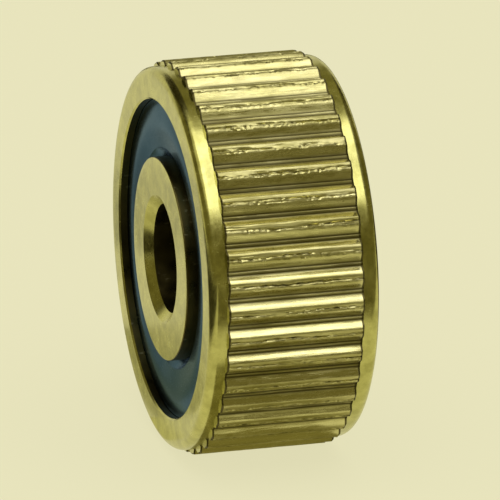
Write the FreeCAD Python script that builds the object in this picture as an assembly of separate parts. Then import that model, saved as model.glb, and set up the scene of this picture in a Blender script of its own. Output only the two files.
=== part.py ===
"""Straight-knurled ball bearing roller: a sealed single-row ball bearing whose thick outer ring has a
straight knurl rolled round it between two plain shoulders.

Millimetres. The axle runs along Y, the origin is the centre of the bore at mid-width, +Z is up, and the
front face is at -Y. The outer ring and its two seals turn round the inner ring, the balls roll between
the two raceways, and a two-piece pressed cage, riveted through its lands, keeps the balls apart.
"""
import FreeCAD
import Part
import math
import os

from FreeCAD import Vector

# Rings
shoulder_diameter = 35.0  # the plain bands beside the knurl
ring_width = 15.8  # both rings, face to face
bore_diameter = 10.0
rim_corner_radius = 0.8
bore_chamfer_width = 0.85  # radial
bore_chamfer_depth = 0.75  # along the axle
inner_ring_corner_radius = 0.25

# Knurl
knurl_teeth = 44
knurl_rise = 0.5  # how far the crests stand above the shoulders
knurl_depth = 0.62  # from crest to groove bottom
knurl_crest_share = 0.22  # share of the pitch that a crest takes, at the rim
knurl_root_share = 0.14  # share of the pitch that a groove's bottom takes
knurl_margin = 1.6  # width of the plain shoulder, from the ring's face to the knurl
knurl_end_bevel = 0.14  # on the teeth's ends

# Balls and raceways
ball_diameter = 5.5563
ball_spacing = 2.9  # least room from ball to ball, for the cage's land
ball_inset = 0.15  # how far inside halfway, from bore to shoulders, the balls' centres run
ball_clearance = 0.02  # between a ball and the bottom of each raceway
raceway_conformity = 0.52  # radius of the raceway's section over the ball's diameter
raceway_depth = 1.00  # from a ring's land down to the bottom of its raceway

# Cage
cage_thickness = 0.50
cage_ring_clearance = 0.50  # between the cage's edges and each ring's land
cage_pocket_clearance = 0.10
rivet_diameter = 1.0
rivet_head_diameter = 1.6
rivet_head_height = 0.40

# Seals
seal_recess = 0.55  # from the ring's face in to the seal's outer face
seal_skin = 0.35  # rubber over the insert's outer side
insert_thickness = 0.35
seal_seat_depth = 1.65  # from the ring's face in to the step that the seal rests on
seal_mouth_wall = 2.9  # from the mouth that the seal is pushed in through, out to the shoulders
seal_mouth_chamfer = 0.15
snap_groove_depth = 0.40  # radial, behind the mouth
snap_groove_width = 0.85
seal_bead_clearance = 0.05  # between the bead and the snap groove
seal_shoulder_width = 0.35  # from the seal's flat face out to the mouth
seal_gap = 0.80  # between the seal's inner edge and the inner ring
insert_edge = 0.40  # rubber round the insert's outer edge, in from the mouth
insert_flange = 0.25  # how far the insert's outer edge turns in past its back
lip_groove_depth = 0.55  # groove round the inner ring that the seal's lip runs in
lip_groove_start = 1.40  # from the ring's face
lip_groove_width = 1.10
lip_clearance = 0.06
lip_thickness = 0.25

# Radii and half widths that follow
half_width = ring_width / 2
shoulder_radius = shoulder_diameter / 2
rim_radius = shoulder_radius + knurl_rise
knurl_root_radius = rim_radius - knurl_depth
knurl_half_length = half_width - knurl_margin
bore_radius = bore_diameter / 2
ball_radius = ball_diameter / 2
pitch_radius = (bore_radius + shoulder_radius) / 2 - ball_inset
ball_count = int(math.pi / math.asin((ball_diameter + ball_spacing) / (2 * pitch_radius)))
raceway_radius = raceway_conformity * ball_diameter
inner_raceway_bottom = pitch_radius - ball_radius - ball_clearance
outer_raceway_bottom = pitch_radius + ball_radius + ball_clearance
inner_land_radius = inner_raceway_bottom + raceway_depth
outer_land_radius = outer_raceway_bottom - raceway_depth
seat_radius = shoulder_radius - seal_mouth_wall
snap_groove_radius = seat_radius + snap_groove_depth
lip_groove_radius = inner_land_radius - lip_groove_depth
cage_inner_radius = inner_land_radius + cage_ring_clearance
cage_outer_radius = outer_land_radius - cage_ring_clearance

AXLE = Vector(0, 1, 0)
CENTRE = Vector(0, 0, 0)
FULL_TURN = 360.0
SIDES = {"front": -1, "back": 1}


def section_point(radius, y):
    """A point of a section that is turned about the axle: X is the radius there."""
    return Vector(radius, y, 0)


def closed_face(corners):
    """A flat face whose straight sides join the corners in order."""
    return Part.Face(Part.makePolygon(corners + corners[:1]))


def turned(face):
    """The ring that a section sweeps round the axle."""
    return face.revolve(CENTRE, AXLE, FULL_TURN)


def turned_section(corners):
    """The ring of a straight-sided section, given as pairs of radius and y."""
    return turned(closed_face([section_point(radius, y) for radius, y in corners]))


def washer(inner_radius, outer_radius, y_low, y_high):
    """A plain ring of square section."""
    return turned_section([
        (inner_radius, y_low),
        (outer_radius, y_low),
        (outer_radius, y_high),
        (inner_radius, y_high),
    ])


def raceway_cutter(bottom_radius, outward):
    """The torus that a raceway's section leaves: outward is 1 in the inner ring and -1 in the outer one."""
    centre_radius = bottom_radius + outward * raceway_radius
    return Part.makeTorus(centre_radius, raceway_radius, CENTRE, AXLE)


def edges_at(shape, radius, y):
    """The circular edges round the axle at one radius and one y."""
    found = []
    for edge in shape.Edges:
        circle = edge.Curve
        if isinstance(circle, Part.Circle) and abs(circle.Radius - radius) < 1e-6:
            if abs(circle.Center.y - y) < 1e-6 and abs(circle.Axis.y) > 0.999:
                found.append(edge)
    return found


def rounded(shape, radius, y, fillet_radius):
    """The shape with its edges at radius, at both +y and -y, rounded."""
    return shape.makeFillet(fillet_radius, edges_at(shape, radius, y) + edges_at(shape, radius, -y))


def seat_cutter(side):
    """What the seal's mouth, snap groove and step take out of one side of the outer ring."""
    face_y = side * half_width
    groove_top = seal_seat_depth - snap_groove_width
    mouth = turned_section([
        (outer_land_radius - raceway_depth, face_y),
        (seat_radius + seal_mouth_chamfer, face_y),
        (seat_radius, face_y - side * seal_mouth_chamfer),
        (seat_radius, face_y - side * seal_seat_depth),
        (outer_land_radius - raceway_depth, face_y - side * seal_seat_depth),
    ])
    groove_slope = snap_groove_depth / 2
    snap_groove = turned_section([
        (seat_radius - snap_groove_depth, face_y - side * groove_top),
        (seat_radius, face_y - side * groove_top),
        (snap_groove_radius, face_y - side * (groove_top + groove_slope)),
        (snap_groove_radius, face_y - side * seal_seat_depth),
        (seat_radius - snap_groove_depth, face_y - side * seal_seat_depth),
    ])
    return mouth.fuse(snap_groove)


def knurl_profile():
    """The knurl's outline across the axle: crests and groove bottoms as arcs, joined by straight flanks."""
    pitch_angle = 2 * math.pi / knurl_teeth
    half_crest = knurl_crest_share * pitch_angle / 2
    half_root = knurl_root_share * pitch_angle / 2

    def point(radius, angle):
        return Vector(radius * math.sin(angle), 0, radius * math.cos(angle))

    edges = []
    for tooth in range(knurl_teeth):
        crest = tooth * pitch_angle
        root = crest + pitch_angle / 2
        crest_ends = [point(rim_radius, crest - half_crest), point(rim_radius, crest + half_crest)]
        root_ends = [point(knurl_root_radius, root - half_root), point(knurl_root_radius, root + half_root)]
        next_crest = point(rim_radius, crest + pitch_angle - half_crest)
        edges += [
            Part.Arc(crest_ends[0], point(rim_radius, crest), crest_ends[1]).toShape(),
            Part.LineSegment(crest_ends[1], root_ends[0]).toShape(),
            Part.Arc(root_ends[0], point(knurl_root_radius, root), root_ends[1]).toShape(),
            Part.LineSegment(root_ends[1], next_crest).toShape(),
        ]
    return Part.Wire(edges)


def knurl_core_radius():
    """How far in the knurled band reaches: halfway from the raceway's bottom to the grooves' bottoms."""
    return (outer_raceway_bottom + min(knurl_root_radius, shoulder_radius)) / 2


def knurled_band():
    """The toothed band round the ring's middle, its teeth's ends bevelled."""
    teeth = Part.Face(knurl_profile()).extrude(AXLE * 2 * knurl_half_length)
    teeth.translate(AXLE * -knurl_half_length)
    envelope = turned_section([
        (knurl_core_radius(), -knurl_half_length),
        (rim_radius - knurl_end_bevel, -knurl_half_length),
        (rim_radius, -knurl_half_length + knurl_end_bevel),
        (rim_radius, knurl_half_length - knurl_end_bevel),
        (rim_radius - knurl_end_bevel, knurl_half_length),
        (knurl_core_radius(), knurl_half_length),
    ])
    return teeth.common(envelope)


def make_outer_ring():
    """The knurled outer ring, with its raceway and a seat for a seal on each side."""
    ring = washer(outer_land_radius, shoulder_radius, -half_width, half_width)
    ring = rounded(ring, shoulder_radius, half_width, rim_corner_radius)
    band_space = washer(knurl_core_radius(), rim_radius, -knurl_half_length, knurl_half_length)
    ring = ring.cut(band_space).fuse(knurled_band()).removeSplitter()
    seats = [seat_cutter(side) for side in SIDES.values()]
    return ring.cut(seats + [raceway_cutter(outer_raceway_bottom, -1)])


def make_inner_ring():
    """The inner ring, with its raceway, a groove for each seal's lip and chamfers at the bore."""
    mouth_radius = bore_radius + bore_chamfer_width
    wall_end = half_width - bore_chamfer_depth
    ring = turned_section([
        (bore_radius, -wall_end),
        (mouth_radius, -half_width),
        (inner_land_radius, -half_width),
        (inner_land_radius, half_width),
        (mouth_radius, half_width),
        (bore_radius, wall_end),
    ])
    ring = rounded(ring, inner_land_radius, half_width, inner_ring_corner_radius)
    cutters = [raceway_cutter(inner_raceway_bottom, 1)]
    for side in SIDES.values():
        ends = sorted(side * (half_width - lip_groove_start - step) for step in (0, lip_groove_width))
        cutters.append(washer(lip_groove_radius, inner_land_radius + raceway_depth, *ends))
    return ring.cut(cutters)


def ball_angle(number):
    """The angle round the axle of a ball, counted from the one at the top."""
    return number * FULL_TURN / ball_count


def round_the_cage(shape, angle):
    """A copy of the shape, turned round the axle."""
    copy = shape.copy()
    copy.rotate(CENTRE, AXLE, angle)
    return copy


def sphere_at_top(radius):
    """A sphere about the centre of the topmost ball, its poles on the line through the axle."""
    return Part.makeSphere(radius, Vector(0, 0, pitch_radius))


def make_balls():
    """Each ball by its name."""
    ball = sphere_at_top(ball_radius)
    return {f"ball_{number + 1}": round_the_cage(ball, ball_angle(number)) for number in range(ball_count)}


def rivet_angle(number):
    """The angle round the axle of a rivet: halfway between two balls."""
    return ball_angle(number + 0.5)


def make_cage_half(side):
    """One pressed half of the cage: flat lands at mid-width, with a round pocket pressed out for each ball."""
    pocket_radius = ball_radius + cage_pocket_clearance
    shell_radius = pocket_radius + cage_thickness
    reach = sorted((0, side * (shell_radius + cage_thickness)))
    band = washer(cage_inner_radius, cage_outer_radius, *reach)
    lands = washer(cage_inner_radius, cage_outer_radius, *sorted((0, side * cage_thickness)))
    numbers = range(ball_count)
    pressed = [round_the_cage(sphere_at_top(shell_radius), ball_angle(n)) for n in numbers]
    pockets = [round_the_cage(sphere_at_top(pocket_radius), ball_angle(n)) for n in numbers]
    rivet_hole = Part.makeCylinder(
        rivet_diameter / 2, 2 * ring_width, Vector(0, -ring_width, pitch_radius), AXLE)
    holes = [round_the_cage(rivet_hole, rivet_angle(n)) for n in numbers]
    domes = Part.makeCompound(pressed).common(band)
    return lands.fuse(domes.Solids).removeSplitter().cut(pockets + holes)


def make_rivets():
    """The rivets, as separate solids: each a shank through both lands, with a round head on each side."""
    shank = Part.makeCylinder(
        rivet_diameter / 2, 2 * cage_thickness, Vector(0, -cage_thickness, pitch_radius), AXLE)
    head_radius = rivet_head_diameter / 2
    dome_radius = (head_radius ** 2 + rivet_head_height ** 2) / (2 * rivet_head_height)
    rivet = shank
    for side in SIDES.values():
        land_y = side * cage_thickness
        crown_y = land_y + side * rivet_head_height
        dome = Part.makeSphere(dome_radius, Vector(0, crown_y - side * dome_radius, pitch_radius))
        slab = Part.makeCylinder(
            dome_radius + head_radius, 2 * dome_radius, Vector(0, land_y, pitch_radius), AXLE * side)
        rivet = rivet.fuse(dome.common(slab))
    rivet = rivet.removeSplitter()
    return Part.makeCompound([round_the_cage(rivet, rivet_angle(n)) for n in range(ball_count)])


def make_seal_insert(side):
    """The steel washer that stiffens a seal, its outer edge turned in."""
    def y_at(depth):
        return side * (half_width - depth)

    outer_radius = seat_radius - insert_edge
    inner_radius = inner_land_radius + seal_gap + insert_edge
    front = seal_recess + seal_skin
    back = front + insert_thickness
    return turned_section([
        (inner_radius, y_at(front)),
        (outer_radius, y_at(front)),
        (outer_radius, y_at(back + insert_flange)),
        (outer_radius - insert_thickness, y_at(back + insert_flange)),
        (outer_radius - insert_thickness, y_at(back)),
        (inner_radius, y_at(back)),
    ])


def make_seal_rubber(side):
    """The rubber of a seal: its skin, the bead that snaps into the outer ring, and the lip on the inner ring."""
    def y_at(depth):
        return side * (half_width - depth)

    insert_outer = seat_radius - insert_edge
    insert_inner = inner_land_radius + seal_gap + insert_edge
    insert_front = seal_recess + seal_skin
    insert_back = insert_front + insert_thickness
    bead_radius = snap_groove_radius - seal_bead_clearance
    groove_top = seal_seat_depth - snap_groove_width
    bead_top = groove_top + snap_groove_depth / 2 + seal_bead_clearance
    edge_radius = inner_land_radius + seal_gap
    throat_radius = inner_land_radius + lip_clearance + lip_thickness / 2
    lip_depth = lip_groove_start + lip_groove_width / 2
    tip_radius = lip_groove_radius + lip_clearance
    return turned_section([
        # Flat outer face, then down to the bead in the snap groove
        (edge_radius, y_at(seal_recess)),
        (seat_radius - seal_shoulder_width, y_at(seal_recess)),
        (seat_radius - seal_bead_clearance, y_at(groove_top + seal_bead_clearance)),
        (bead_radius, y_at(bead_top)),
        (bead_radius, y_at(seal_seat_depth - seal_bead_clearance)),
        (bead_radius - seal_bead_clearance, y_at(seal_seat_depth)),
        (insert_outer, y_at(seal_seat_depth)),
        # Round the insert's edge and along its front to the lip
        (insert_outer, y_at(insert_front)),
        (insert_inner, y_at(insert_front)),
        (insert_inner, y_at(insert_back)),
        # Lip, down to its tip in the inner ring's groove and back up to the face
        (throat_radius + lip_thickness, y_at(lip_depth)),
        (tip_radius, y_at(lip_depth + lip_thickness)),
        (tip_radius, y_at(lip_depth)),
        (throat_radius, y_at(lip_groove_start)),
    ])


def make_parts():
    """Every piece by its name."""
    parts = {"outer_ring": make_outer_ring(), "inner_ring": make_inner_ring()}
    parts.update(make_balls())
    parts["cage_rivets"] = make_rivets()
    for name, side in SIDES.items():
        parts[f"cage_{name}"] = make_cage_half(side)
        parts[f"seal_insert_{name}"] = make_seal_insert(side)
        parts[f"seal_rubber_{name}"] = make_seal_rubber(side)
    return parts


os.makedirs("parts", exist_ok=True)
for name, shape in make_parts().items():
    box = shape.BoundBox
    print(f"{name}: {len(shape.Solids)} solid, valid {shape.isValid()}, volume {shape.Volume:.2f} mm3")
    print(f"  x {box.XMin:.2f} to {box.XMax:.2f}, y {box.YMin:.2f} to {box.YMax:.2f}, z {box.ZMin:.2f} to {box.ZMax:.2f}")
    shape.exportStep(f"parts/{name}.step")
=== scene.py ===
"""Dresses the knurled bearing roller: a thick outer ring with a rolled straight knurl, an inner ring with a
chamfered bore, and a moulded rubber seal between the rings on each side.

Metres. The axle runs along Y, the front face is at -Y and +Z is up. Sizes below are in millimetres where
their names say so, and the rings' outer sizes come from the frame.
"""
import logging
import math
from dataclasses import dataclass, field
from enum import Enum

import bpy
import numpy as np
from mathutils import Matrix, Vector


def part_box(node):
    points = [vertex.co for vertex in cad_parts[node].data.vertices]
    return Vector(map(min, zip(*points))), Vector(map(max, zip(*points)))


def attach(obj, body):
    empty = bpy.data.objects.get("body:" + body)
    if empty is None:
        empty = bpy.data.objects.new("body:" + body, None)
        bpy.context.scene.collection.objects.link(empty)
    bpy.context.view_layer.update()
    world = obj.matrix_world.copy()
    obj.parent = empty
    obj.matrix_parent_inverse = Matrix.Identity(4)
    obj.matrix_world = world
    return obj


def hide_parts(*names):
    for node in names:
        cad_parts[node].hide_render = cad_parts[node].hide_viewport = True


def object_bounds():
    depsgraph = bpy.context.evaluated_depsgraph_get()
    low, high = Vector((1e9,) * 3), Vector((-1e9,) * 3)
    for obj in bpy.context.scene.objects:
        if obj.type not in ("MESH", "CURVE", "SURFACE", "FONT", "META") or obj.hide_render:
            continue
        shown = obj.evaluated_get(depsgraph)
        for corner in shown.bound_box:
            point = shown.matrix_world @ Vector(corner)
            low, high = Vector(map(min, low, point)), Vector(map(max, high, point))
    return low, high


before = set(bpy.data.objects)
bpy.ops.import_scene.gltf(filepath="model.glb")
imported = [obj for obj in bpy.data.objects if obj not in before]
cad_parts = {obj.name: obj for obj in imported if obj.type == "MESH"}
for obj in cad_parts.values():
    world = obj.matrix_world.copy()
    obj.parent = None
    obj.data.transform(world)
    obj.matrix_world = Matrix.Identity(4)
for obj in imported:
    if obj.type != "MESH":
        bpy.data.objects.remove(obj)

MM = 0.001
# The radius, in metres, at which marks round the axle keep their stated length
STREAK_RADIUS = 0.016
CAD_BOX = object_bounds()

log = logging.getLogger("roller")

Colour = tuple[float, float, float]
SectionPoint = tuple[float, float]
Walk = tuple[float, float]


class Side(Enum):
    """The two faces of the roller, by the sign of their y."""

    FRONT = -1
    BACK = 1


class Lay(Enum):
    """The way that a finish's marks run."""

    ALONG_AXLE = "along the axle"
    ROUND_AXLE = "round the axle"


def from_srgb(red: int, green: int, blue: int) -> Colour:
    """Turns a display colour into the linear one that shaders take.

    Args:
        red, green, blue: The display colour, from 0 to 255.

    Returns:
        The linear colour, from 0 to 1.
    """
    def linear(value: int) -> float:
        """Undoes the display curve for one channel."""
        share = value / 255
        return share / 12.92 if share <= 0.04045 else ((share + 0.055) / 1.055) ** 2.4

    return linear(red), linear(green), linear(blue)


BEIGE = from_srgb(233, 229, 189)


# Geometry

def arc(centre: SectionPoint, radius: float, start: float, end: float, steps: int) -> list[SectionPoint]:
    """Points along a round stretch of a section.

    Args:
        centre: The arc's centre, as radius from the axle and y.
        radius: The arc's own radius.
        start, end: Angles in degrees from the outward radius towards +y.
        steps: How many chords to cut the arc into.

    Returns:
        The points from start to end, both included.
    """
    angles = np.radians(np.linspace(start, end, steps + 1))
    return [(centre[0] + radius * math.cos(a), centre[1] + radius * math.sin(a)) for a in angles]


def mirrored(section: list[SectionPoint]) -> list[SectionPoint]:
    """The same stretch on the other side of mid-width, in the opposite order."""
    return [(radius, -y) for radius, y in reversed(section)]


def divided(section: list[SectionPoint], longest: float, closed: bool = True) -> list[SectionPoint]:
    """Cuts a section's long straight runs into shorter ones.

    Args:
        section: The points in order.
        longest: The longest run to leave, in the section's units.
        closed: Whether the last point joins the first.

    Returns:
        The same outline with points added on its long runs.
    """
    result = []
    following = section[1:] + section[:1] if closed else section[1:]
    for here, there in zip(section, following):
        length = math.dist(here, there)
        pieces = max(1, math.ceil(length / longest))
        for i in range(pieces):
            t = i / pieces
            result.append((here[0] + t * (there[0] - here[0]), here[1] + t * (there[1] - here[1])))
    return result if closed else result + section[-1:]


def turned(radii: np.ndarray, ys: np.ndarray, angles: np.ndarray) -> np.ndarray:
    """Places points round the axle.

    Args:
        radii: Distance from the axle, one row for each ring of points.
        ys: Place along the axle, shaped like radii or a column of it.
        angles: Angle from +Z towards +X of each column.

    Returns:
        An array of rows by columns by three coordinates.
    """
    radii, ys, angles = np.broadcast_arrays(radii, ys, angles)
    return np.stack([radii * np.sin(angles), ys, radii * np.cos(angles)], axis=2)


def ring_object(name: str, points: np.ndarray, sharp_angle: float) -> bpy.types.Object:
    """Makes a closed ring from a grid of points that wraps both ways.

    Args:
        name: The piece's name.
        points: Rows round the section by columns round the axle, in millimetres.
        sharp_angle: Edges that turn by more than this many degrees are drawn sharp.

    Returns:
        The new object, linked to the scene.
    """
    rows, columns = points.shape[:2]
    index = np.arange(rows * columns).reshape(rows, columns)
    below = np.roll(index, -1, axis=0)
    corners = np.stack([index, np.roll(index, -1, axis=1), np.roll(below, -1, axis=1), below], axis=2)
    mesh = bpy.data.meshes.new(name)
    mesh.vertices.add(rows * columns)
    mesh.vertices.foreach_set("co", (points * MM).astype(np.float32).ravel())
    mesh.loops.add(corners.size)
    mesh.loops.foreach_set("vertex_index", corners.astype(np.int32).ravel())
    mesh.polygons.add(corners.size // 4)
    mesh.polygons.foreach_set("loop_start", np.arange(0, corners.size, 4, dtype=np.int32))
    mesh.update(calc_edges=True)
    mesh.validate()
    mesh.shade_smooth()
    mesh.set_sharp_from_angle(angle=math.radians(sharp_angle))
    piece = bpy.data.objects.new(name, mesh)
    bpy.context.scene.collection.objects.link(piece)
    return piece


def turned_object(name: str, section: list[SectionPoint], segments: int,
                  sharp_angle: float = 35.0) -> bpy.types.Object:
    """Turns a section about the axle.

    Args:
        name: The piece's name.
        section: The section's outline, counter-clockwise with the radius to the right and y up.
        segments: How many steps to take round the axle.
        sharp_angle: Edges that turn by more than this many degrees are drawn sharp.

    Returns:
        The new object, linked to the scene.
    """
    outline = np.array(section)
    angles = np.linspace(0, 2 * math.pi, segments, endpoint=False)
    points = turned(outline[:, :1], outline[:, 1:], angles[None, :])
    return ring_object(name, points, sharp_angle)


class Wander:
    """Smooth random walks along the axle, the same on every run."""

    def __init__(self, seed: int) -> None:
        """Seeds the walk."""
        self.rng = np.random.default_rng(seed)

    def along(self, places: np.ndarray, tracks: int, spacing: float) -> np.ndarray:
        """Values that drift between -1 and 1.

        Args:
            places: Rising places along the axle.
            tracks: How many independent walks to make.
            spacing: The distance over which a walk changes.

        Returns:
            An array of places by tracks.
        """
        knots = int((places[-1] - places[0]) / spacing) + 3
        heights = self.rng.uniform(-1, 1, (knots, tracks))
        at = (places - places[0]) / spacing
        low = np.floor(at).astype(int)
        blend = (at - low)[:, None]
        blend = blend * blend * (3 - 2 * blend)
        return heights[low] * (1 - blend) + heights[low + 1] * blend


# Finishes

class Shader:
    """A procedural material while its nodes are being laid."""

    def __init__(self, name: str) -> None:
        """Starts an empty node tree with an output."""
        self.material = bpy.data.materials.new(name)
        self.material.use_nodes = True
        self.tree = self.material.node_tree
        self.tree.nodes.clear()
        self.output = self.tree.nodes.new("ShaderNodeOutputMaterial")

    def node(self, kind: str, settings: dict | None = None, **inputs: object) -> bpy.types.Node:
        """Adds a node.

        Args:
            kind: The node's type without its ShaderNode prefix.
            settings: Values of the node's own properties.
            inputs: Sockets by name, with spaces as underscores: a value, or another node's output.

        Returns:
            The new node.
        """
        made = self.tree.nodes.new("ShaderNode" + kind)
        for key, value in (settings or {}).items():
            setattr(made, key, value)
        for key, value in inputs.items():
            socket = made.inputs[int(key[1:])] if key[1:].isdigit() else made.inputs[key.replace("_", " ")]
            if isinstance(value, bpy.types.NodeSocket):
                self.tree.links.new(value, socket)
            else:
                socket.default_value = (*value, 1.0) if socket.type == "RGBA" and len(value) == 3 else value
        return made

    def maths(self, operation: str, first: object, second: object = 0.0,
              clamp: bool = False) -> bpy.types.NodeSocket:
        """One step of arithmetic.

        Args:
            operation: The Math node's operation.
            first, second: Values or sockets.
            clamp: Whether to keep the result from 0 to 1.

        Returns:
            The result's socket.
        """
        settings = {"operation": operation, "use_clamp": clamp}
        return self.node("Math", settings, _0=first, _1=second).outputs[0]

    def place(self) -> bpy.types.NodeSocket:
        """The point on the object, in its own metres."""
        return self.node("TexCoord").outputs["Object"]

    def radius(self, place: bpy.types.NodeSocket) -> bpy.types.NodeSocket:
        """The point's distance from the axle, in metres."""
        apart = self.node("SeparateXYZ", Vector=place).outputs
        across = self.maths("MULTIPLY", apart["X"], apart["X"])
        up = self.maths("MULTIPLY", apart["Z"], apart["Z"])
        return self.maths("SQRT", self.maths("ADD", across, up))

    def noise(self, place: object, scale: float, detail: float = 3.0,
              roughness: float = 0.55) -> bpy.types.NodeSocket:
        """Cloudy noise.

        Args:
            place: The point to read it at.
            scale: How many clouds go in a metre.
            detail: Octaves of finer clouds.
            roughness: How strong the finer ones are.

        Returns:
            Its value, about 0.5 in the middle.
        """
        return self.node("TexNoise", Vector=place, Scale=scale, Detail=detail,
                         Roughness=roughness).outputs["Fac"]

    def stretched(self, place: bpy.types.NodeSocket, lay: Lay, ratio: float) -> bpy.types.NodeSocket:
        """The point squeezed so that noise read at it runs in streaks.

        Args:
            place: The point on the object.
            lay: The way that the streaks run.
            ratio: How much longer than wide they are.

        Returns:
            The squeezed point.
        """
        if lay is Lay.ALONG_AXLE:
            return self.node("Mapping", Vector=place, Scale=(1.0, 1 / ratio, 1.0)).outputs[0]
        apart = self.node("SeparateXYZ", Vector=place).outputs
        angle = self.maths("ARCTAN2", apart["X"], apart["Z"])
        turn = self.node("CombineXYZ", X=self.radius(place), Y=apart["Y"],
                         Z=self.maths("MULTIPLY", self.maths("SINE", angle), STREAK_RADIUS / ratio))
        return turn.outputs[0]

    def levels(self, value: bpy.types.NodeSocket, low: float, high: float,
               to_low: float = 0.0, to_high: float = 1.0) -> bpy.types.NodeSocket:
        """Stretches a value's range, clamped at both ends."""
        return self.node("MapRange", Value=value, From_Min=low, From_Max=high,
                         To_Min=to_low, To_Max=to_high).outputs[0]

    def mixed(self, share: object, first: object, second: object) -> bpy.types.NodeSocket:
        """A blend of two colours, from the first at 0 to the second at 1."""
        mix = self.node("Mix", {"data_type": "RGBA"})
        for key, value in ((0, share), (6, first), (7, second)):
            socket = mix.inputs[key]
            if isinstance(value, bpy.types.NodeSocket):
                self.tree.links.new(value, socket)
            else:
                socket.default_value = (*value, 1.0) if key else value
        return mix.outputs[2]

    def bump(self, height: bpy.types.NodeSocket, depth: float,
             normal: bpy.types.NodeSocket | None = None) -> bpy.types.NodeSocket:
        """A relief too fine for the mesh.

        Args:
            height: The relief, from 0 to 1.
            depth: How deep it is, in metres.
            normal: An earlier relief that this one lies on.

        Returns:
            The bumped normal.
        """
        inputs = {"Height": height, "Distance": depth, "Strength": 1.0}
        if normal is not None:
            inputs["Normal"] = normal
        return self.node("Bump", **inputs).outputs[0]

    def finish(self, principled: bpy.types.Node) -> bpy.types.Material:
        """Joins the surface to the output and returns the material."""
        self.tree.links.new(principled.outputs[0], self.output.inputs["Surface"])
        return self.material


@dataclass(frozen=True)
class RolledSteel:
    """The knurl's finish: polished flanks that also carry a painted highlight, crests dull and streaked,
    soiled seams, and painted shade in the grooves' bottoms and at the knurl's ends."""

    name: str = "rolled_steel"
    colour: Colour = (0.45, 0.413, 0.152)
    worn: Colour = (0.68, 0.635, 0.31)
    # Real soil in the seams, and painted shade in the grooves' bottoms and at the knurl's ends
    dirt_and_groove_shade: Colour = (0.050, 0.038, 0.008)
    roughness: tuple[float, float] = (0.16, 0.52)
    streak_depth: float = 0.000012
    tear_depth: float = 0.000010

    def material(self) -> bpy.types.Material:
        """Lays the nodes."""
        s = Shader(self.name)
        place = s.place()
        streaks = s.noise(s.stretched(place, Lay.ALONG_AXLE, 22), 4200, 3, 0.6)
        grain = s.noise(s.stretched(place, Lay.ALONG_AXLE, 9), 6200, 3, 0.65)
        patches = s.noise(s.stretched(place, Lay.ALONG_AXLE, 5), 900, 4, 0.65)
        torn = s.node("Attribute", {"attribute_name": "torn"}).outputs["Fac"]
        hollow = s.node("Attribute", {"attribute_name": "hollow"}).outputs["Fac"]
        rubbed = s.node("Attribute", {"attribute_name": "rubbed"}).outputs["Fac"]
        speckle = s.levels(s.noise(s.stretched(place, Lay.ALONG_AXLE, 3.5), 5200, 3, 0.7), 0.48, 0.66)
        grime_and_groove_shade = s.maths("MULTIPLY", torn, speckle, clamp=True)
        # Painted shade: the groove mask darkens the grooves' bottoms and the knurl's ends to the dark colour;
        # the torn speckle above is real soil
        grime_and_groove_shade = s.maths("MAXIMUM", grime_and_groove_shade, s.maths("MULTIPLY", hollow, 0.92))
        # Painted highlight, partly real: the flank mask lifts the polished flanks to the brighter worn
        # colour; the patches are real wear
        bare_and_glint = s.maths("MAXIMUM", s.levels(patches, 0.38, 0.68), s.maths("MULTIPLY", rubbed, 0.85))
        metal = s.mixed(bare_and_glint, self.colour, self.worn)
        colour = s.mixed(grime_and_groove_shade, metal, self.dirt_and_groove_shade)
        wear = s.maths("SUBTRACT", s.maths("MULTIPLY", grime_and_groove_shade, 0.4), s.maths("MULTIPLY", rubbed, 0.45))
        rough = s.levels(s.maths("ADD", grain, wear), 0.10, 0.70, *self.roughness)
        relief = s.bump(streaks, self.streak_depth)
        relief = s.bump(s.maths("MULTIPLY", speckle, torn), self.tear_depth, relief)
        return s.finish(s.node("BsdfPrincipled", Base_Color=colour, Metallic=1.0, Roughness=rough,
                               Normal=relief))


@dataclass(frozen=True)
class TurnedSteel:
    """A ring's turned and ground faces: fine marks round the axle on pale gold metal."""

    name: str = "turned_steel"
    colour: Colour = (0.40, 0.377, 0.116)
    worn: Colour = (0.58, 0.55, 0.19)
    roughness: tuple[float, float] = (0.18, 0.28)
    mark_depth: float = 0.0000012
    cloud_depth: float = 0.0000015

    def material(self) -> bpy.types.Material:
        """Lays the nodes."""
        s = Shader(self.name)
        place = s.place()
        marks = s.noise(s.stretched(place, Lay.ROUND_AXLE, 30), 5200, 3, 0.6)
        patches = s.noise(place, 620, 4, 0.6)
        grain = s.noise(place, 4200, 2, 0.5)
        colour = s.mixed(s.levels(patches, 0.36, 0.64), self.colour, self.worn)
        rough = s.levels(s.maths("ADD", s.maths("MULTIPLY", patches, 0.5), s.maths("MULTIPLY", grain, 0.5)),
                         0.35, 0.65, *self.roughness)
        relief = s.bump(marks, self.mark_depth)
        relief = s.bump(patches, self.cloud_depth, relief)
        return s.finish(s.node("BsdfPrincipled", Base_Color=colour, Metallic=1.0, Roughness=rough,
                               Normal=relief))


@dataclass(frozen=True)
class ShadedWallSteel:
    """Painted shade for the rings' recesses and the bore: a dark colour, with a few painted glints."""

    name: str = "shaded_wall_steel"
    # Painted shade: this dark colour stands in for the shade inside the recesses and the bore
    colour: Colour = (0.095, 0.078, 0.024)
    bare_and_glint: Colour = (0.34, 0.31, 0.16)
    roughness: tuple[float, float] = (0.26, 0.42)
    film_depth: float = 0.000004

    def material(self) -> bpy.types.Material:
        """Lays the nodes."""
        s = Shader(self.name)
        place = s.place()
        # Painted glints: a few bright specks of the lighter colour on the dark one
        painted_glints = s.levels(s.noise(s.stretched(place, Lay.ALONG_AXLE, 2), 1500, 3, 0.6), 0.64, 0.76)
        film = s.noise(place, 700, 3)
        colour = s.mixed(painted_glints, self.colour, self.bare_and_glint)
        rough = s.levels(film, 0.3, 0.7, *self.roughness)
        return s.finish(s.node("BsdfPrincipled", Base_Color=colour, Metallic=1.0, Roughness=rough,
                               Normal=s.bump(film, self.film_depth)))


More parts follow.
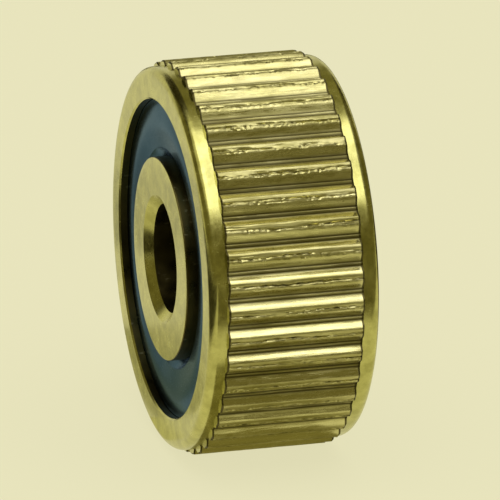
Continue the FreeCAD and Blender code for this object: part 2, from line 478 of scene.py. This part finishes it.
@dataclass(frozen=True)
class MouldedRubber:
    """A seal's blue-grey rubber, with graphite in its skin: a cold sheen across the mould's marks."""

    name: str = "moulded_rubber"
    colour: Colour = (0.040, 0.062, 0.080)
    dusty: Colour = (0.066, 0.092, 0.115)
    edge_tint: Colour = (0.55, 0.67, 0.88)
    roughness: tuple[float, float] = (0.20, 0.28)
    anisotropy: float = 0.50
    across_marks: float = 0.25
    mark_depth: float = 0.000004
    grain_depth: float = 0.000001

    def material(self) -> bpy.types.Material:
        """Lays the nodes."""
        s = Shader(self.name)
        place = s.place()
        marks = s.noise(s.stretched(place, Lay.ROUND_AXLE, 40), 4200, 2, 0.5)
        bloom = s.noise(place, 330, 4, 0.6)
        grain = s.noise(place, 7000, 3, 0.6)
        colour = s.mixed(s.levels(bloom, 0.40, 0.75), self.colour, self.dusty)
        rough = s.levels(grain, 0.3, 0.7, *self.roughness)
        relief = s.bump(marks, self.mark_depth)
        relief = s.bump(grain, self.grain_depth, relief)
        round_axle = s.node("Tangent", {"direction_type": "RADIAL", "axis": "Y"}).outputs[0]
        return s.finish(s.node("BsdfPrincipled", Base_Color=colour, Metallic=1.0, Roughness=rough,
                               Normal=relief, Specular_Tint=self.edge_tint, Anisotropic=self.anisotropy,
                               Anisotropic_Rotation=self.across_marks, Tangent=round_axle))


@dataclass(frozen=True)
class PlainSteel:
    """The finish of a steel piece behind the seals: pressed, drawn or lapped."""

    name: str
    colour: Colour
    roughness: tuple[float, float]
    grain_scale: float = 3000.0
    grain_depth: float = 0.000002

    def material(self) -> bpy.types.Material:
        """Lays the nodes."""
        s = Shader(self.name)
        place = s.place()
        grain = s.noise(place, self.grain_scale, 4, 0.6)
        tone = s.mixed(s.levels(s.noise(place, 400, 3), 0.35, 0.7), self.colour,
                       tuple(0.82 * c for c in self.colour))
        rough = s.levels(grain, 0.3, 0.7, *self.roughness)
        return s.finish(s.node("BsdfPrincipled", Base_Color=tone, Metallic=1.0, Roughness=rough,
                               Normal=s.bump(grain, self.grain_depth)))


# The roller

@dataclass(frozen=True)
class Bearing:
    """What the rings, balls and seals share. Lengths are in millimetres, depths from the rings' faces."""

    ball_radius: float
    pitch_radius: float
    half_width: float
    ball_clearance: float = 0.02
    conformity: float = 0.52
    raceway_depth: float = 1.0
    seat_radius: float = 14.6
    seat_depth: float = 1.65
    snap_depth: float = 0.40
    snap_width: float = 0.85
    lip_groove_depth: float = 0.55
    lip_groove_start: float = 1.40
    lip_groove_width: float = 1.10

    @classmethod
    def from_frame(cls) -> "Bearing":
        """Reads the balls' and rings' sizes from the frame."""
        low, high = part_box("ball_1")
        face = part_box("inner_ring")[1].y
        return cls((high.x - low.x) / 2 / MM, (high.z + low.z) / 2 / MM, face / MM)

    @property
    def raceway_radius(self) -> float:
        """The radius of the raceways' section."""
        return 2 * self.conformity * self.ball_radius

    @property
    def inner_land(self) -> float:
        """The inner ring's outer radius."""
        return self.pitch_radius - self.ball_radius - self.ball_clearance + self.raceway_depth

    @property
    def outer_land(self) -> float:
        """The outer ring's inner radius."""
        return self.pitch_radius + self.ball_radius + self.ball_clearance - self.raceway_depth

    def raceway(self, land: float, steps: int = 16) -> list[SectionPoint]:
        """A raceway's section, in the order that keeps its ring's metal on the left."""
        outward = 1 if land < self.pitch_radius else -1
        centre = land + outward * (self.raceway_radius - self.raceway_depth)
        spread = math.degrees(math.acos(1 - self.raceway_depth / self.raceway_radius))
        middle = 180 if outward > 0 else 0
        return arc((centre, 0), self.raceway_radius, middle + spread, middle - spread, steps)


@dataclass
class OuterRing:
    """The knurled ring. Lengths are in millimetres; shares are of the knurl's pitch.

    A walk is how far apart its turns are along the axle, and how far it strays.
    """

    bearing: Bearing
    node: str = "outer_ring"
    body: str = "outer_ring"
    teeth: int = 44
    knurl_rise: float = 0.5
    corner_radius: float = 0.8
    knurl_depth: float = 0.62
    knurl_margin: float = 1.6
    crest_ends: tuple[float, float] = (-0.135, 0.100)
    root_starts: tuple[float, float] = (-0.400, 0.450)
    flank_curve: float = 0.35
    leading_walk: Walk = (1.8, 0.014)
    trailing_walk: Walk = (1.4, 0.018)
    ridge_walk: Walk = (2.8, 0.4)
    seam_walks: tuple[Walk, Walk] = ((2.8, 0.040), (0.45, 0.013))
    opening_walks: tuple[Walk, Walk] = ((2.2, 0.50), (0.55, 0.40))
    width_walk: Walk = (1.1, 0.012)
    root_ridge: float = 0.09
    seam_depth: float = 0.18
    seam_place: float = 0.02
    seam_width: float = 0.030
    seam_opening: float = 0.58
    chip_depth: float = 0.07
    fray_depth: float = 0.06
    crest_wobble: float = 0.014
    scratch_count: tuple[int, int] = (3, 7)
    scratch_half_length: tuple[float, float] = (0.5, 2.4)
    scratch_place: tuple[float, float] = (-0.09, 0.13)
    scratch_half_breadth: tuple[float, float] = (0.014, 0.035)
    scratch_depth: tuple[float, float] = (0.02, 0.08)
    trailing_share: float = 0.5
    crest_dulling: float = 0.30
    end_bevel: float = 0.14
    mouth_chamfer: float = 0.15
    rows_in_knurl: int = 160
    seed: int = 11
    wander: Wander = field(init=False)

    def __post_init__(self) -> None:
        """Reads the ring's outer radius from the frame."""
        self.rim_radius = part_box(self.node)[1].z / MM
        self.shoulder_radius = self.rim_radius - self.knurl_rise
        self.half_knurl = self.bearing.half_width - self.knurl_margin
        self.wander = Wander(self.seed)

    def tooth_columns(self) -> np.ndarray:
        """Places across one tooth, in shares of the pitch from its crest's middle.

        Returns:
            Rising places from the groove before the crest to just short of the groove after it.
        """
        over_crest = np.linspace(self.crest_ends[0] - 0.03, self.crest_ends[1] + 0.03, 13)
        sides = []
        for crest, root in zip(self.crest_ends, self.root_starts):
            flank = np.linspace(abs(crest) + 0.05, abs(root) - 0.02, 7)
            sides.append(np.concatenate([flank, [abs(root), (abs(root) + 0.5) / 2]]))
        return np.concatenate([[-0.5], -sides[0][::-1], over_crest, sides[1]])

    def tooth_height(self, across: np.ndarray, places: np.ndarray) -> tuple[np.ndarray, np.ndarray]:
        """The knurl's height above its grooves' bottoms.

        Args:
            across: Places across one tooth, in shares of the pitch.
            places: Rising places along the axle.

        Returns:
            Heights, and how torn the metal is from 0 to 1, each as places by teeth by columns.
        """
        def track(spacing: float, size: float) -> np.ndarray:
            """A random walk for each tooth, ready to meet the columns."""
            return (self.wander.along(places, self.teeth, spacing) * size)[:, :, None]

        u = across[None, None, :]
        crest = np.where(u < 0, abs(self.crest_ends[0]), self.crest_ends[1])
        root = np.where(u < 0, abs(self.root_starts[0]), self.root_starts[1])
        edge = crest + np.where(u < 0, track(*self.leading_walk), track(*self.trailing_walk))
        slope = np.clip((root - np.abs(u)) / (root - edge), 0, 1)
        slope = slope + self.flank_curve * (slope * slope * (3 - 2 * slope) - slope)
        ridge = np.clip(1 - (0.5 - np.abs(u)) / (0.5 - root), 0, 1)
        height = self.knurl_depth * slope + self.root_ridge * ridge * (1 + track(*self.ridge_walk))

        slow, fast = self.seam_walks
        seam = self.seam_place + track(*slow) + track(*fast)
        slow, fast = self.opening_walks
        openness = np.clip(self.seam_opening + track(*slow) + track(*fast), 0, 1.2)
        width = self.seam_width + track(*self.width_walk)
        valley = np.exp(-(((u - seam) / width) ** 2))
        height = height - self.seam_depth * openness * valley

        on_crest = np.clip((crest + 0.045 - np.abs(u)) / 0.03, 0, 1)
        below_seam = np.clip((u - seam) / 0.03, 0, 1) * on_crest
        ragged = np.clip(track(0.38, 1.0) + track(0.17, 0.8) - 0.1, 0, 1.5)
        height = height - self.fray_depth * ragged * below_seam
        height = height - self.crest_wobble * np.abs(track(1.0, 1.0)) * on_crest
        height = height - self.scratches(across, places) * on_crest
        at_edge = np.exp(-(((u - self.crest_ends[1] - 0.01) / 0.024) ** 2))
        chipped = np.clip(track(0.30, 0.8) + track(0.13, 0.7) - 0.15, 0, 1) * at_edge
        height = height - self.chip_depth * chipped
        torn = np.clip(valley * openness + 0.45 * below_seam + 0.10 * on_crest + 0.5 * chipped, 0, 1)
        return height, torn

    def scratches(self, across: np.ndarray, places: np.ndarray) -> np.ndarray:
        """Scratches along the crests, where the rolled metal folded over.

        Args:
            across: Places across one tooth, in shares of the pitch.
            places: Rising places along the axle.

        Returns:
            Depths as places by teeth by columns.
        """
        rng = self.wander.rng
        depth = np.zeros((len(places), self.teeth, len(across)))
        for tooth in range(self.teeth):
            for _ in range(rng.integers(*self.scratch_count)):
                middle = rng.uniform(-self.half_knurl, self.half_knurl)
                half_length = rng.uniform(*self.scratch_half_length)
                side = rng.uniform(*self.scratch_place)
                half_breadth = rng.uniform(*self.scratch_half_breadth)
                deep = rng.uniform(*self.scratch_depth)
                along = np.exp(-(((places - middle) / half_length) ** 2))[:, None]
                over = np.exp(-(((across - side) / half_breadth) ** 2))[None, :]
                depth[:, tooth, :] = np.maximum(depth[:, tooth, :], deep * along * over)
        return depth

    def knurl(self) -> tuple[np.ndarray, np.ndarray, np.ndarray, np.ndarray]:
        """The knurled band, from its front end to its back end.

        Returns:
            The band's radii, its places along the axle, how torn the metal is, and the columns' angles.
        """
        across = self.tooth_columns()
        bevel_rows = np.linspace(-self.half_knurl, -self.half_knurl + 2 * self.end_bevel, 5)
        middle = np.linspace(bevel_rows[-1], -bevel_rows[-1], self.rows_in_knurl)
        places = np.concatenate([bevel_rows, middle[1:-1], -bevel_rows[::-1]])
        height, torn = self.tooth_height(across, places)
        from_end = self.half_knurl - np.abs(places)
        limit = self.rim_radius - np.clip(self.end_bevel - from_end, 0, None)
        radii = np.minimum(self.rim_radius - self.knurl_depth + height, limit[:, None, None])
        pitch = 2 * math.pi / self.teeth
        angles = (np.arange(self.teeth)[:, None] + across[None, :]) * pitch
        rows = len(places)
        return radii.reshape(rows, -1), places, torn.reshape(rows, -1), angles.ravel()

    def smooth_section(self) -> list[SectionPoint]:
        """The plain part of the section: from the knurl's back end round the inside to its front end."""
        b = self.bearing
        face = b.half_width
        corner = (self.shoulder_radius - self.corner_radius, face - self.corner_radius)
        snap = b.seat_radius + b.snap_depth
        seat_floor = face - b.seat_depth
        groove_start = seat_floor + b.snap_width
        back = [(self.shoulder_radius, self.half_knurl), (self.shoulder_radius, corner[1] - 0.05)]
        back += arc(corner, self.corner_radius, 0, 90, 10)
        back += [
            (b.seat_radius + self.mouth_chamfer, face),
            (b.seat_radius, face - self.mouth_chamfer),
            (b.seat_radius, groove_start),
            (snap, groove_start - b.snap_depth / 2),
            (snap, seat_floor),
            (b.outer_land, seat_floor),
        ]
        return divided(back + b.raceway(b.outer_land) + mirrored(back), 0.9, closed=False)

    def build(self) -> bpy.types.Object:
        """Makes the ring, its knurl, two finishes and painted shade inside, and stands it in for its node."""
        radii, places, torn, angles = self.knurl()
        section = np.array(self.smooth_section())
        band = turned(radii, places[:, None], angles[None, :])
        rest = turned(section[:, :1], section[:, 1:], angles[None, :])
        points = np.concatenate([band, rest])
        piece = ring_object("outer_ring_knurled", points, 38)
        piece.data.materials.append(RolledSteel().material())
        piece.data.materials.append(TurnedSteel().material())
        piece.data.materials.append(ShadedWallSteel().material())
        columns = len(angles)
        plain = np.zeros(len(piece.data.polygons), np.int32)
        plain[(len(places) - 1) * columns:] = 1
        # Painted shade: the seat and the raceway behind the seals get the dark material
        inside = section[:, 0] < self.bearing.seat_radius + 0.5 * self.mouth_chamfer
        rows = len(places) + np.flatnonzero(inside[:-1] & inside[1:])
        for row in rows:
            plain[row * columns:(row + 1) * columns] = 2
        piece.data.polygons.foreach_set("material_index", plain)
        height = (radii - self.rim_radius + self.knurl_depth) / self.knurl_depth
        # Painted shade: darkens the grooves' bottoms, and the whole bevelled ends of the knurl, where shade
        # falls
        hollow = np.clip(1.1 - height / 0.17, 0, 1)
        hollow[np.abs(places) > self.half_knurl - 1.2 * self.end_bevel] = 1
        # Painted highlight, partly real: the flanks get the brighter colour, full on the leading flanks (the
        # upper ones on the camera's side, which the overhead lamp lights) and half on the trailing ones;
        # their lower roughness is real polish
        leading = (np.tile(self.tooth_columns(), self.teeth) < 0)[None, :]
        rubbed = np.clip(5 * (height - 0.12) * (1 - height), 0, 1)
        rubbed = rubbed * np.where(leading, 1, self.trailing_share)
        rubbed = rubbed - self.crest_dulling * np.clip((height - 0.84) / 0.1, 0, 1)
        for name, values in (("torn", torn), ("hollow", hollow), ("rubbed", rubbed)):
            store = piece.data.attributes.new(name, "FLOAT", "POINT")
            whole = np.zeros((points.shape[0], columns), np.float32)
            whole[:len(places)] = values
            store.data.foreach_set("value", whole.ravel())
        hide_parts(self.node)
        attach(piece, self.body)
        log.info("outer ring: %d teeth, %d faces", self.teeth, len(piece.data.polygons))
        return piece


@dataclass
class InnerRing:
    """The ring that the pin holds still, with its chamfered bore. Lengths are in millimetres."""

    bearing: Bearing
    node: str = "inner_ring"
    body: str = "inner_ring"
    bore_radius: float = 5.0
    chamfer_width: float = 0.85
    chamfer_depth: float = 0.75
    corner_radius: float = 0.12
    segments: int = 288

    def section(self) -> list[SectionPoint]:
        """The ring's outline."""
        b = self.bearing
        land, face = b.inner_land, b.half_width
        groove = land - b.lip_groove_depth
        near = face - b.lip_groove_start
        far = near - b.lip_groove_width
        mouth, wall_end = self.bore_radius + self.chamfer_width, face - self.chamfer_depth
        corner = arc((land - self.corner_radius, face - self.corner_radius), self.corner_radius, 0, 90, 6)
        back = [(land, far), (groove, far), (groove, near), (land, near)] + corner
        back += [(mouth, face), (self.bore_radius, wall_end)]
        return divided(mirrored(back) + b.raceway(land) + back, 0.8)

    def is_wall(self, point: SectionPoint) -> bool:
        """Whether a point is on the bore's wall or outside the flat face, where the ring gets painted shade.
        """
        outside = self.bearing.inner_land - 0.5 * self.corner_radius
        return point[0] < self.bore_radius + 0.01 or point[0] > outside

    def build(self) -> bpy.types.Object:
        """Turns the ring, finishes it and stands it in for its node."""
        section = self.section()
        piece = turned_object("inner_ring_turned", section, self.segments)
        piece.data.materials.append(TurnedSteel("ground_steel").material())
        # Painted shade: the bore's wall and the ring's outside under the seals get the dark material
        piece.data.materials.append(ShadedWallSteel("shaded_bore_wall").material())
        walls = np.zeros(len(piece.data.polygons), np.int32)
        for row, (here, there) in enumerate(zip(section, section[1:] + section[:1])):
            if self.is_wall(here) and self.is_wall(there):
                walls[row * self.segments:(row + 1) * self.segments] = 1
        piece.data.polygons.foreach_set("material_index", walls)
        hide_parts(self.node)
        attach(piece, self.body)
        log.info("inner ring: bore %.1f mm", 2 * self.bore_radius)
        return piece


@dataclass
class Seal:
    """One moulded seal, snapped into the outer ring. Millimetres, with depths from the ring's face."""

    side: Side
    bearing: Bearing
    rubber: bpy.types.Material
    body: str = "outer_ring"
    recess: float = 0.58
    skin: float = 0.32
    crown_fall: float = 0.27
    crown_radius: float = 12.3
    crown_round: float = 0.5
    insert_thickness: float = 0.35
    insert_edge: float = 0.40
    bead_clearance: float = 0.05
    shoulder_width: float = 0.35
    gap: float = 0.80
    lip_clearance: float = 0.06
    lip_thickness: float = 0.25
    segments: int = 288

    def section(self) -> list[SectionPoint]:
        """The rubber's outline on the back side, from its inner edge outwards and back by the inside."""
        b = self.bearing

        def at(radius: float, depth: float) -> SectionPoint:
            """A point at a depth from the ring's face."""
            return radius, b.half_width - depth

        insert_front = self.recess + self.skin
        insert_outer = b.seat_radius - self.insert_edge
        bead = b.seat_radius + b.snap_depth - self.bead_clearance
        groove_top = b.seat_depth - b.snap_width
        edge, flat_end = b.inner_land + self.gap, b.seat_radius - self.shoulder_width
        throat = b.inner_land + self.lip_clearance + self.lip_thickness / 2
        lip_depth = b.lip_groove_start + b.lip_groove_width / 2
        tip = b.inner_land - b.lip_groove_depth + self.lip_clearance
        low = self.recess + self.crown_fall
        eased = self.recess + 0.12 * self.crown_fall
        face = [
            at(edge, low + 0.08),
            at(edge + 0.05, low + 0.01),
            at(edge + 0.13, low),
            at(self.crown_radius - self.crown_round, eased),
            at(self.crown_radius, self.recess),
            at(self.crown_radius + self.crown_round, eased),
            at(flat_end - 0.09, low),
            at(flat_end, low + 0.03),
        ]
        bead_round = [
            at(b.seat_radius - self.bead_clearance, groove_top + self.bead_clearance),
            at(bead, groove_top + b.snap_depth / 2 + self.bead_clearance),
            at(bead, b.seat_depth - self.bead_clearance),
            at(bead - self.bead_clearance, b.seat_depth),
            at(insert_outer, b.seat_depth),
        ]
        inside = [
            at(insert_outer, insert_front),
            at(edge + self.insert_edge, insert_front),
            at(edge + self.insert_edge, insert_front + self.insert_thickness),
            at(throat + self.lip_thickness, lip_depth),
            at(tip, lip_depth + self.lip_thickness),
            at(tip, lip_depth),
            at(throat, b.lip_groove_start),
        ]
        return face + bead_round + inside

    def build(self) -> bpy.types.Object:
        """Turns the rubber and stands it in for its node."""
        word = self.side.name.lower()
        section = divided(self.section(), 0.5)[::-1]
        if self.side is Side.FRONT:
            section = mirrored(section)
        piece = turned_object(f"seal_{word}_moulded", section, self.segments, 32)
        piece.data.materials.append(self.rubber)
        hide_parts(f"seal_rubber_{word}")
        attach(piece, self.body)
        log.info("%s seal", word)
        return piece


@dataclass
class Innards:
    """The steel pieces behind the seals, which keep their own shape."""

    balls: PlainSteel = PlainSteel("lapped_steel", (0.62, 0.63, 0.64), (0.04, 0.09), 6000, 0.0000003)
    cage: PlainSteel = PlainSteel("pressed_steel", (0.50, 0.50, 0.47), (0.24, 0.38))
    rivets: PlainSteel = PlainSteel("drawn_steel", (0.46, 0.46, 0.44), (0.22, 0.34))
    inserts: PlainSteel = PlainSteel("insert_steel", (0.40, 0.41, 0.42), (0.30, 0.45))

    def dress(self) -> None:
        """Gives every inner node its finish."""
        finishes = {
            "ball_": self.balls.material(),
            "cage_rivets": self.rivets.material(),
            "cage_": self.cage.material(),
            "seal_insert_": self.inserts.material(),
        }
        for name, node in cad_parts.items():
            for start, finish in finishes.items():
                if name.startswith(start):
                    node.data.materials.clear()
                    node.data.materials.append(finish)
                    log.info("%s dressed", name)
                    break


# The studio

@dataclass(frozen=True)
class LyingCard:
    """A card on the floor: its stretch of x, its stretch of y and its colour in reflections."""

    name: str
    across: tuple[float, float]
    along: tuple[float, float]
    tone: Colour


@dataclass
class Studio:
    """A pale floor, one large soft lamp overhead and dim cards that only reflections see.

    Lengths are in metres, turns and elevations in degrees.
    """

    azimuth: float = 74.47
    elevation: float = 17.77
    distance: float = 0.8336
    lens: float = 659.0
    centre_px: tuple[float, float] = (243.76, 251.8)
    picture_px: float = 500.0
    floor_gap: float = 0.00005
    floor_size: float = 8.0
    floor_glow: float = 0.88
    lamp_azimuth: float = 90.0
    lamp_elevation: float = 70.0
    lamp_distance: float = 1.5
    lamp_size: float = 1.5
    lamp_power: float = 13.5
    lamp_colour: Colour = (0.97, 0.97, 1.10)
    fill_strength: float = 0.55
    card_distance: float = 0.7
    card_top: float = 37.0
    side_top: float = 70.0
    front_turns: tuple[float, float] = (-50, 215)
    side_turns: tuple[float, float] = (125, 230)
    turn_steps: int = 54
    hung_distance: float = 0.9
    hung_turns: tuple[float, float] = (22, 72)
    hung_half: float = 1.6
    behind_along: tuple[float, float] = (0.16, 0.42)
    front_tone: Colour = (0.18, 0.158, 0.050)
    side_tone: Colour = (0.16, 0.140, 0.055)
    behind_tone: Colour = (0.27, 0.245, 0.090)
    corner_tone: Colour = (0.035, 0.028, 0.008)
    lying_cards: tuple[LyingCard, ...] = (
        LyingCard("lying_card_right", (0.05, 0.7), (-0.0119, 0.6), (0.16, 0.14, 0.048)),
        LyingCard("lying_card_ahead", (-0.075, 0.7), (-0.6, -0.040), (0.030, 0.025, 0.008)),
        # Painted shadow, seen only in reflections: a dark card where the roller's contact shadow lies on the
        # floor
        LyingCard("shadow_card_under", (-0.012, 0.027), (-0.0062, 0.0072), (0.22, 0.195, 0.055)),
        LyingCard("lying_card_back", (-0.7, -0.01), (0.012, 0.6), (0.045, 0.038, 0.010)),
        # Painted shadow, seen only in reflections: two cards near the front foot, darker than the floor,
        # where the roller's shadow falls
        LyingCard("shadow_card_foot", (-0.034, -0.008), (-0.019, -0.0095), (0.45, 0.43, 0.19)),
        LyingCard("shadow_card_toe", (-0.008, -0.001), (-0.0105, -0.0081), (0.64, 0.61, 0.26)),
        LyingCard("lying_card_left", (-0.084, -0.058), (-0.027, -0.018), (0.40, 0.39, 0.24)),
    )

    def toward(self, azimuth: float, elevation: float) -> Vector:
        """The direction from the roller to a place round it, in degrees as the camera counts them."""
        a, e = math.radians(azimuth), math.radians(elevation)
        return Vector((math.sin(a) * math.cos(e), -math.cos(a) * math.cos(e), math.sin(e)))

    def plain(self, name: str, colour: Colour, glow: float = 0.0) -> bpy.types.Material:
        """A matt stage material, part of whose colour may be its own even glow."""
        s = Shader(name)
        lit = tuple((1 - glow) * c for c in colour)
        return s.finish(s.node("BsdfPrincipled", Base_Color=lit, Roughness=1.0, Specular_IOR_Level=0.0,
                               Emission_Color=colour, Emission_Strength=glow))

    def stand(self, name: str, points: list[tuple[float, float, float]], faces: list[tuple[int, ...]],
              material: bpy.types.Material) -> bpy.types.Object:
        """Makes a stage object from points in metres."""
        mesh = bpy.data.meshes.new(name)
        mesh.from_pydata(points, [], faces)
        mesh.materials.append(material)
        made = bpy.data.objects.new(name, mesh)
        bpy.context.scene.collection.objects.link(made)
        return made

    def floor(self) -> None:
        """Lays the pale floor under the rim."""
        half = self.floor_size / 2
        z = CAD_BOX[0].z - self.floor_gap
        corners = [(-half, -half, z), (half, -half, z), (half, half, z), (-half, half, z)]
        self.stand("floor", corners, [(0, 1, 2, 3)], self.plain("pale_floor", BEIGE, self.floor_glow))

    def reflection_only(self, card: bpy.types.Object) -> None:
        """Hides a card from everything but reflections."""
        card.visible_camera = False
        card.visible_diffuse = False
        card.visible_shadow = False
        card.visible_transmission = False

    def cards(self) -> None:
        """Stands two curved cards round the roller, lays the rest on the floor and hangs three behind."""
        front_high = self.card_distance * math.tan(math.radians(self.card_top))
        side_high = self.card_distance * math.tan(math.radians(self.side_top))
        self.round_card("standing_card", self.front_turns, (0.0, front_high), self.front_tone)
        self.round_card("side_card", self.side_turns, (front_high, side_high), self.side_tone)
        for card in self.lying_cards:
            self.lay(card)
        start, end = self.behind_along
        self.hang("hanging_card", (start, end), self.behind_tone)
        self.hang("corner_card_front", (-self.hung_half, start), self.corner_tone)
        self.hang("corner_card_back", (end, self.hung_half), self.corner_tone)

    def lay(self, card: LyingCard) -> None:
        """Lays a card just above the floor."""
        z = CAD_BOX[0].z + self.floor_gap
        (left, right), (front, back) = card.across, card.along
        corners = [(left, front, z), (right, front, z), (right, back, z), (left, back, z)]
        tone = self.plain(f"{card.name}_tone", card.tone, 1.0)
        self.reflection_only(self.stand(card.name, corners, [(0, 1, 2, 3)], tone))

    def hang(self, name: str, along: tuple[float, float], tone: Colour) -> None:
        """Hangs a slanting card behind the roller.

        Args:
            name: The card's name.
            along: Where it starts and ends, as y.
            tone: Its colour in reflections.
        """
        bottom, top = (self.toward(270, turn) * self.hung_distance for turn in self.hung_turns)
        start, end = along
        corners = [(bottom.x, start, bottom.z), (bottom.x, end, bottom.z), (top.x, end, top.z),
                   (top.x, start, top.z)]
        self.reflection_only(self.stand(name, corners, [(0, 1, 2, 3)], self.plain(f"{name}_tone", tone, 1.0)))

    def round_card(self, name: str, turns: tuple[float, float], heights: tuple[float, float],
                   tone: Colour) -> None:
        """Stands a card curved round the roller.

        Args:
            name: The card's name.
            turns: Where it starts and ends, in degrees of azimuth.
            heights: Its lower and upper edge.
            tone: Its colour in reflections.
        """
        points = []
        steps = np.linspace(*turns, self.turn_steps)
        for turn in steps:
            direction = self.toward(turn, 0) * self.card_distance
            points += [(direction.x, direction.y, height) for height in heights]
        faces = [(2 * i, 2 * i + 1, 2 * i + 3, 2 * i + 2) for i in range(len(steps) - 1)]
        self.reflection_only(self.stand(name, points, faces, self.plain(f"{name}_tone", tone, 1.0)))

    def lamp(self, name: str, azimuth: float, elevation: float, distance: float, size: float,
             power: float) -> None:
        """Hangs a square soft lamp that faces the roller."""
        light = bpy.data.lights.new(name, "AREA")
        light.shape = "SQUARE"
        light.size = size
        light.energy = power
        light.color = self.lamp_colour
        made = bpy.data.objects.new(name, light)
        direction = self.toward(azimuth, elevation)
        made.location = direction * distance
        made.rotation_mode = "QUATERNION"
        made.rotation_quaternion = direction.to_track_quat("Z", "Y")
        bpy.context.scene.collection.objects.link(made)

    def sky(self) -> None:
        """Sets the room's own light, and the beige that the camera and reflections see of it."""
        world = bpy.data.worlds.new("room")
        world.use_nodes = True
        tree = world.node_tree
        tree.nodes.clear()
        seen = tree.nodes.new("ShaderNodeBackground")
        seen.inputs["Color"].default_value = (*BEIGE, 1.0)
        seen.inputs["Strength"].default_value = 1.0
        lit = tree.nodes.new("ShaderNodeBackground")
        lit.inputs["Color"].default_value = (1.0, 1.0, 1.0, 1.0)
        lit.inputs["Strength"].default_value = self.fill_strength
        path = tree.nodes.new("ShaderNodeLightPath")
        camera_or_gloss = tree.nodes.new("ShaderNodeMath")
        camera_or_gloss.operation = "MAXIMUM"
        any_seen = tree.nodes.new("ShaderNodeMath")
        any_seen.operation = "MAXIMUM"
        mix = tree.nodes.new("ShaderNodeMixShader")
        output = tree.nodes.new("ShaderNodeOutputWorld")
        links = tree.links
        links.new(path.outputs["Is Camera Ray"], camera_or_gloss.inputs[0])
        links.new(path.outputs["Is Glossy Ray"], camera_or_gloss.inputs[1])
        links.new(camera_or_gloss.outputs[0], any_seen.inputs[0])
        links.new(path.outputs["Is Transmission Ray"], any_seen.inputs[1])
        links.new(any_seen.outputs[0], mix.inputs[0])
        links.new(lit.outputs[0], mix.inputs[1])
        links.new(seen.outputs[0], mix.inputs[2])
        links.new(mix.outputs[0], output.inputs["Surface"])
        bpy.context.scene.world = world

    def camera(self) -> None:
        """Aims a long lens at the roller from the photograph's angle."""
        data = bpy.data.cameras.new("camera")
        data.lens = self.lens
        data.clip_start, data.clip_end = 0.01, 50.0
        middle = self.picture_px / 2
        data.shift_x = (middle - self.centre_px[0]) / self.picture_px
        data.shift_y = (self.centre_px[1] - middle) / self.picture_px
        made = bpy.data.objects.new("camera", data)
        back = self.toward(self.azimuth, self.elevation)
        made.location = back * self.distance
        made.rotation_mode = "QUATERNION"
        made.rotation_quaternion = (-back).to_track_quat("-Z", "Y")
        bpy.context.scene.collection.objects.link(made)
        bpy.context.scene.camera = made

    def build(self) -> None:
        """Sets up the whole studio."""
        self.camera()
        self.floor()
        self.cards()
        self.sky()
        self.lamp("overhead_lamp", self.lamp_azimuth, self.lamp_elevation, self.lamp_distance, self.lamp_size,
                  self.lamp_power)
        bpy.context.scene.view_settings.view_transform = "Standard"
        log.info("studio ready")


def main() -> None:
    """Builds the studio and the roller."""
    logging.basicConfig(level=logging.INFO, format="%(name)s: %(message)s")
    Studio().build()
    bearing = Bearing.from_frame()
    OuterRing(bearing).build()
    InnerRing(bearing).build()
    rubber = MouldedRubber().material()
    for side in Side:
        Seal(side, bearing, rubber).build()
    Innards().dress()


if __name__ == "__main__":
    main()
